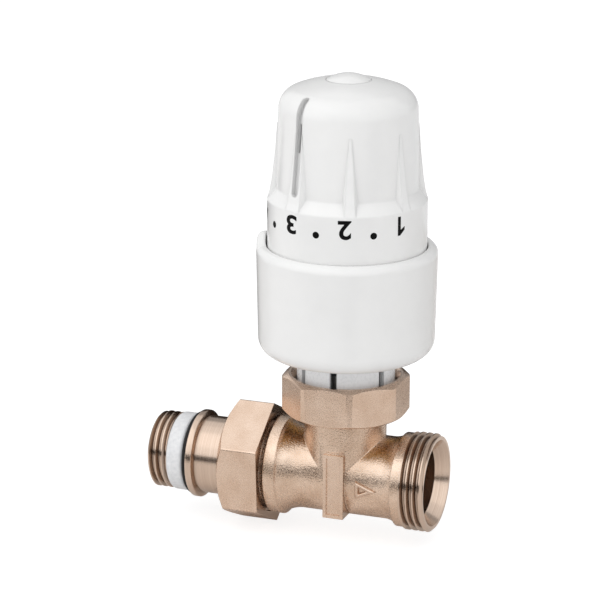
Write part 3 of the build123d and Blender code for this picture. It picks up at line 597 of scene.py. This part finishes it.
def helical_cutter(name, start_x, end_x, radius):
    """A closed ridge along a helix about the pipe axis, as wide and deep as the groove it cuts."""
    over = 0.4 * MM
    flare = (groove_mouth - groove_root) / 2 * (1 + over / groove_depth) + groove_root / 2
    outline = [(-flare, radius + over), (flare, radius + over),
               (groove_root / 2, radius - groove_depth), (-groove_root / 2, radius - groove_depth)]
    steps = int((end_x - start_x) / pitch * steps_a_turn)
    points = []
    for step in range(steps + 1):
        turn = 2 * math.pi * step / steps_a_turn
        x = start_x + pitch * step / steps_a_turn
        points += [(x + dx, r * math.cos(turn), r * math.sin(turn)) for dx, r in outline]
    faces = [(0, 1, 2, 3), tuple(4 * steps + i for i in (3, 2, 1, 0))]
    for step in range(steps):
        for i in range(4):
            j = (i + 1) % 4
            faces.append((4 * step + i, 4 * step + 4 + i, 4 * step + 4 + j, 4 * step + j))
    return add_object(name, mesh_facing_out(name, points, faces))


def cut_thread(piece, start_x, end_x, radius):
    """Cuts one helical groove into a piece."""
    cutter = helical_cutter(piece.name + "_cutter", start_x, end_x, radius)
    cut = piece.modifiers.new("thread", "BOOLEAN")
    cut.operation = "DIFFERENCE"
    cut.solver = "EXACT"
    cut.object = cutter
    settle(piece)
    bpy.data.objects.remove(cutter)
    print(piece.name, "has", len(piece.data.polygons), "faces after its thread was cut")


inch = 25.4 * MM
print("thread:", round(inch / pitch, 1), "turns to the inch")

# %% [markdown]
# The body wears three finishes. Its skin is blasted, its thread and its bores are turned, and the pad on its
# front, struck by a die of its own, has a crisper rim than the rest. A mesh can hold several materials, and
# each face names one of them by number, so a loop sorts the faces by where they lie and which way they look.

# %% Outlet thread on the body
PRESSED, TURNED, STRUCK = range(3)
outlet_thread_x = 67.5 * MM
outlet_end_x = 74.1 * MM
pipe_thread_r = 13.22 * MM
thread_run_in = 0.3 * MM
thread_run_out = 1.2 * MM
shoulder_margin = 0.05 * MM
bore_reach = 10.4 * MM
pad_x = stem_x + 0.75 * MM
pad_half = 2.9 * MM
pad_reach = 9.3 * MM
pad_back = -5.0 * MM
square_on = 0.999

body = welded_copy("valve_body", "body_with_thread")
body.data.materials.append(bronze)
body.data.materials.append(turned_bronze)
body.data.materials.append(nut_bronze)
cut_thread(body, outlet_thread_x + thread_run_in, outlet_end_x + thread_run_out, pipe_thread_r)
for face in body.data.polygons:
    middle, out = face.center, face.normal
    on_pad = abs(middle.x - pad_x) < pad_half and abs(middle.z) < pad_reach and middle.y < pad_back
    in_bore = middle.y * out.y + middle.z * out.z < 0 and math.hypot(middle.y, middle.z) < bore_reach
    if in_bore or middle.x > outlet_thread_x - shoulder_margin:
        face.material_index = TURNED
    elif on_pad and max(abs(out.x), abs(out.y), abs(out.z)) > square_on:
        face.material_index = STRUCK
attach(body, "valve")
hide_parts("valve_body")

# %% Radiator thread on the tailpiece
tail_thread_r = 10.4775 * MM
tail_end_x = -5.4 * MM
tail_thread_stop = 0.2 * MM
tail = welded_copy("tailpiece", "tailpiece_with_thread")
tail.data.materials.append(turned_bronze)
cut_thread(tail, tail_end_x - thread_run_out, tail_thread_stop, tail_thread_r)
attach(tail, "valve")
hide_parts("tailpiece")

# %% [markdown]
# The nuts come from the press with corners that no die can keep sharp. The six corners of the lower nut are
# rounded first, where the upper one has narrow flats in its solid already. A Bevel modifier then breaks every
# edge by a few tenths, so that each catches a thin line of light, as on the real nuts. Their turned end faces
# and bores get the lathe finish, face by face.

# %% Corners of a nut
def round_corners(nut, axis, middle, width):
    """Rounds the edges between the spanner flats of a nut, which run along its axis."""
    sharpest_kept = math.radians(30.0)
    net = bmesh.new()
    net.from_mesh(nut.data)
    corners = []
    for edge in net.edges:
        along = (edge.verts[1].co - edge.verts[0].co).normalized()
        out = (edge.verts[0].co + edge.verts[1].co) / 2 - middle
        out -= axis * out.dot(axis)
        outward = all(face.normal.dot(out) > 0 for face in edge.link_faces)
        bend = edge.calc_face_angle(0.0)
        if abs(along.dot(axis)) > square_on and outward and bend > sharpest_kept:
            corners.append(edge)
    bmesh.ops.bevel(net, geom=corners, offset=width, segments=3, profile=0.5, affect="EDGES",
                    clamp_overlap=True)
    net.to_mesh(nut.data)
    net.free()
    print(nut.name, "has", len(corners), "corners rounded")


# %% Nuts with broken edges
smallest_flat = 4.0 * MM * MM
hexagon_corner = 0.5 * MM
broken_edge = 0.25 * MM
edge_degrees = 17.0
nearly_endways = 0.9


def nut_with_broken_edges(node, name, axis, middle, corner_width=0.0):
    """A copy of a nut with its edges broken and its turned faces told apart from its pressed ones."""
    nut = welded_copy(node, name)
    nut.data.materials.append(nut_bronze)
    nut.data.materials.append(turned_bronze)
    if corner_width > 0.0:
        round_corners(nut, axis, middle, corner_width)
    edge = nut.modifiers.new("broken_edges", "BEVEL")
    edge.width = broken_edge
    edge.segments = 2
    edge.limit_method = "ANGLE"
    edge.angle_limit = math.radians(edge_degrees)
    settle(nut, edge_degrees)
    turned = 0
    for face in nut.data.polygons:
        out = face.center - middle
        out -= axis * out.dot(axis)
        inward = face.normal.dot(out) < 0
        endways = abs(face.normal.dot(axis)) > nearly_endways
        face.material_index = TURNED if inward or endways else PRESSED
        turned += face.material_index == TURNED
        # A spanner flat is shaded flat, so that only its narrow broken edges bend the light.
        if face.area > smallest_flat:
            face.use_smooth = False
    print(name, "has", len(nut.data.polygons), "faces,", turned, "of them turned")
    return nut


pipe_axis, pipe_middle = Vector((1, 0, 0)), Vector((0, 0, 0))
stem_axis, stem_middle = Vector((0, 0, 1)), Vector((stem_x, 0, 0))
union = nut_with_broken_edges("union_nut", "union_nut_edged", pipe_axis, pipe_middle, hexagon_corner)
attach(union, "union_nut")
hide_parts("union_nut")
ring_nut = nut_with_broken_edges("head_nut", "head_nut_edged", stem_axis, stem_middle)
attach(ring_nut, "head_nut")
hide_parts("head_nut")

# %% [markdown]
# Inside the insert, a return spring lifts the stem. When the stem goes down the spring has to shorten, or the
# stem's collar would cut through its upper coils. The way down has two parts: the sensor in the head slides
# as the head is turned, and as it warms it pushes the stem on from there. A blended piece can stretch between
# two bodies only, so a copy of the spring is cut in half at its middle, and each half is closed where it is
# cut.

# %% Return spring in two halves
spring_low, spring_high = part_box("return_spring")
spring_middle = (spring_low[2] + spring_high[2]) / 2
cut_tolerance = 1e-7


def half_spring(name, upper):
    """The upper or the lower half of the return spring, closed where it is cut."""
    piece = welded_copy("return_spring", name)
    net = bmesh.new()
    net.from_mesh(piece.data)
    cut = bmesh.ops.bisect_plane(
        net, geom=net.verts[:] + net.edges[:] + net.faces[:], dist=cut_tolerance,
        clear_inner=upper, clear_outer=not upper,
        plane_co=(stem_x, 0.0, spring_middle), plane_no=(0.0, 0.0, 1.0))
    bmesh.ops.edgeloop_fill(net, edges=[e for e in cut["geom_cut"] if isinstance(e, bmesh.types.BMEdge)])
    bmesh.ops.triangulate(net, faces=net.faces)
    open_edges = sum(len(edge.link_faces) != 2 for edge in net.edges)
    net.to_mesh(piece.data)
    net.free()
    piece.data.materials.append(finishes["steel_drawn_wire"])
    settle(piece)
    print(name, "has", len(piece.data.polygons), "faces and", open_edges, "open edges")
    return piece


lower_half = half_spring("return_spring_lower", False)
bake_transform(lower_half)
upper_half = half_spring("return_spring_upper", True)
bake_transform(upper_half)
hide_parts("return_spring")

# %% [markdown]
# The dial numbers are pad printed in black, upside down to the viewer, so that they can be read from above
# by someone who bends over the valve. Text objects give clean outlines, and their flat meshes are then
# wrapped on the dial's cylinder, a hair's breadth proud of it, as ink is. Only the 1 is drawn from listed
# corners, as the plain bar with a flag that the dial has. Dry ink is deep black and hardly shines, and is a
# little speckled.

# %% Ink
# Specks in dry ink are too fine to show, so they are drawn at 0.3 mm.
speck_size = 0.3 * MM
ink, tree, shader, place = start_finish("ink_pad_printed_black")
speck = add_node(tree, "ShaderNodeTexNoise", {"Vector": place, "Scale": 1 / speck_size, "Detail": 2.0})
ramp = add_node(tree, "ShaderNodeValToRGB", {"Fac": speck.outputs["Fac"]})
ramp.color_ramp.elements[0].color = colour("#050506")
ramp.color_ramp.elements[1].color = colour("#0e0e0f")
dry = add_node(tree, "ShaderNodeMapRange", {"Value": speck.outputs["Fac"], "To Min": 0.38, "To Max": 0.52})
bump = add_node(tree, "ShaderNodeBump",
                {"Height": speck.outputs["Fac"], "Strength": 0.2, "Distance": 0.02 * MM})
end_finish(tree, shader, ramp.outputs["Color"], dry.outputs["Result"], bump.outputs["Normal"])
shader.inputs["Specular IOR Level"].default_value = 0.1
print("finish:", ink.name)

# %% Outlines of numbers
number_height = 5.05 * MM
number_width = 3.5 * MM
stroke = 0.95 * MM
# How much the font's strokes are thickened, as a share of its size.
font_weight = 0.026
font_curve_steps = 6


def number_one():
    """The flat outline of a 1, a bar with a flag, turned upside down, its bar in the middle."""
    flag_reach, flag_drop = 1.35 * MM, 1.35 * MM
    flag_start, flag_root = 0.2 * MM, 0.15 * MM
    head = number_height / 2
    bar = stroke / 2
    corners = [(-bar, -head), (bar, -head), (bar, head), (-bar + flag_start, head),
               (-bar - flag_reach, head - flag_drop), (-bar - flag_reach, head - flag_drop - stroke),
               (-bar, head - flag_drop - flag_root)]
    net = bmesh.new()
    net.faces.new([net.verts.new((-x, -y, 0.0)) for x, y in corners])
    net.normal_update()
    return net


def number_outline(digit):
    """The flat outline of a digit, centred, as big as the printed numbers and turned upside down."""
    text = bpy.data.curves.new("digit", "FONT")
    text.body = digit
    text.resolution_u = font_curve_steps
    text.offset = font_weight
    holder = add_object("digit", text)
    bpy.context.view_layer.update()
    flat = bpy.data.meshes.new_from_object(holder.evaluated_get(bpy.context.evaluated_depsgraph_get()))
    bpy.data.objects.remove(holder)
    net = bmesh.new()
    net.from_mesh(flat)
    xs = [v.co.x for v in net.verts]
    ys = [v.co.y for v in net.verts]
    wide = number_width / (max(xs) - min(xs))
    high = number_height / (max(ys) - min(ys))
    middle = Vector(((max(xs) + min(xs)) / 2, (max(ys) + min(ys)) / 2, 0))
    for vertex in net.verts:
        back_to_front = middle - vertex.co
        vertex.co = (back_to_front.x * wide, back_to_front.y * high, 0)
    return net


print("numbers are", round(number_height / MM, 2), "mm high")

# %% Dial numbers and dots
dial_r = 21.05 * MM
ink_lift = 0.03 * MM
number_z = 73.0 * MM
dot_z = 71.3 * MM
dot_r = 0.9 * MM
dot_corners = 32
digits = "12345"
first_number = math.radians(-31.5)
number_step = math.radians(-41.2)


def wrapped(name, net, angle, z):
    """Wraps a flat mesh on the dial, its X along the rim and its Y up."""
    bmesh.ops.triangulate(net, faces=net.faces)
    bmesh.ops.subdivide_edges(net, edges=net.edges, cuts=2)
    bmesh.ops.triangulate(net, faces=net.faces)
    r = dial_r + ink_lift
    for vertex in net.verts:
        turn = angle + vertex.co.x / dial_r
        vertex.co = (stem_x + r * math.cos(turn), r * math.sin(turn), z + vertex.co.y)
    mesh = bpy.data.meshes.new(name)
    net.normal_update()
    net.to_mesh(mesh)
    net.free()
    mesh.materials.append(ink)
    piece = add_object(name, mesh)
    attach(piece, "handwheel")


for count, digit in enumerate(digits):
    outline = number_one() if digit == "1" else number_outline(digit)
    wrapped("dial_number_" + digit, outline, first_number + count * number_step, number_z)
# A dot stands halfway between each two numbers.
for count in range(len(digits) - 1):
    net = bmesh.new()
    bmesh.ops.create_circle(net, cap_ends=True, segments=dot_corners, radius=dot_r)
    wrapped("dial_dot_" + str(count + 1), net, first_number + (count + 0.5) * number_step, dot_z)
print("dial:", len(digits), "numbers", round(math.degrees(-number_step), 1), "degrees apart, dots between")

# %% [markdown]
# A raised arrow on the body shows which way the water flows. It is part of the pressing: a low ridge round a
# triangle, on the round of the run. A curve with a bevel could make such a ridge. Here its outline is drawn
# flat, set inwards step by step, and laid on the cylinder at the heights of a rounded ridge, so that it
# stands equally high all round. Its sides lean, as a die needs them to let go.

# %% Flow arrow
run_r = 11.1 * MM
# The outer corners in mm, along the run from the stem and up from the pipe's axis.
arrow_corners = [(6.6, 2.0), (12.6, -0.5), (6.6, -3.2)]
# Across the ridge in mm: how far in from the outline, and how high above the run.
ridge = [(0.0, -0.1), (0.1, 0.45), (0.35, 0.78), (0.6, 0.88), (0.85, 0.78), (1.1, 0.45), (1.2, -0.1)]
side_steps = 12


def inset_corners(corners, inset):
    """The corners of a triangle whose sides are moved inwards by a distance."""
    count = len(corners)
    lines = []
    for i in range(count):
        a, b = Vector(corners[i]), Vector(corners[(i + 1) % count])
        along = (b - a).normalized()
        inward = Vector((along.y, -along.x))
        lines.append((a + inward * inset, along))
    moved = []
    for i in range(count):
        p, d = lines[i - 1]
        q, e = lines[i]
        span = d.x * e.y - d.y * e.x
        reach = ((q - p).x * e.y - (q - p).y * e.x) / span
        moved.append(p + d * reach)
    return moved


def on_run(point, height):
    """A point of the flat drawing, laid on the front of the run at a height above it."""
    r = run_r + height
    z = point[1] * MM
    return (stem_x + point[0] * MM, -math.sqrt(r * r - z * z), z)


points, faces = [], []
for inset, height in ridge:
    corners = inset_corners(arrow_corners, inset)
    for i in range(3):
        for step in range(side_steps):
            point = corners[i].lerp(corners[(i + 1) % 3], step / side_steps)
            points.append(on_run(point, height * MM))
loop_points = 3 * side_steps
for loop in range(len(ridge)):
    here = loop * loop_points
    after = (loop + 1) % len(ridge) * loop_points
    for i in range(loop_points):
        j = (i + 1) % loop_points
        faces.append((here + i, here + j, after + j, after + i))
arrow_mesh = mesh_facing_out("flow_arrow", points, faces)
arrow_mesh.shade_smooth()
arrow_mesh.materials.append(nut_bronze)
arrow = add_object("flow_arrow", arrow_mesh)
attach(arrow, "valve")
print("arrow:", len(arrow_mesh.polygons), "faces")

# %% [markdown]
# The box of the solids is written out, in millimetres. Nothing above may make the object bigger than
# its solids.

# %% Sizes
print("cad box", [[round(c / MM, 2) for c in corner] for corner in cad_box])
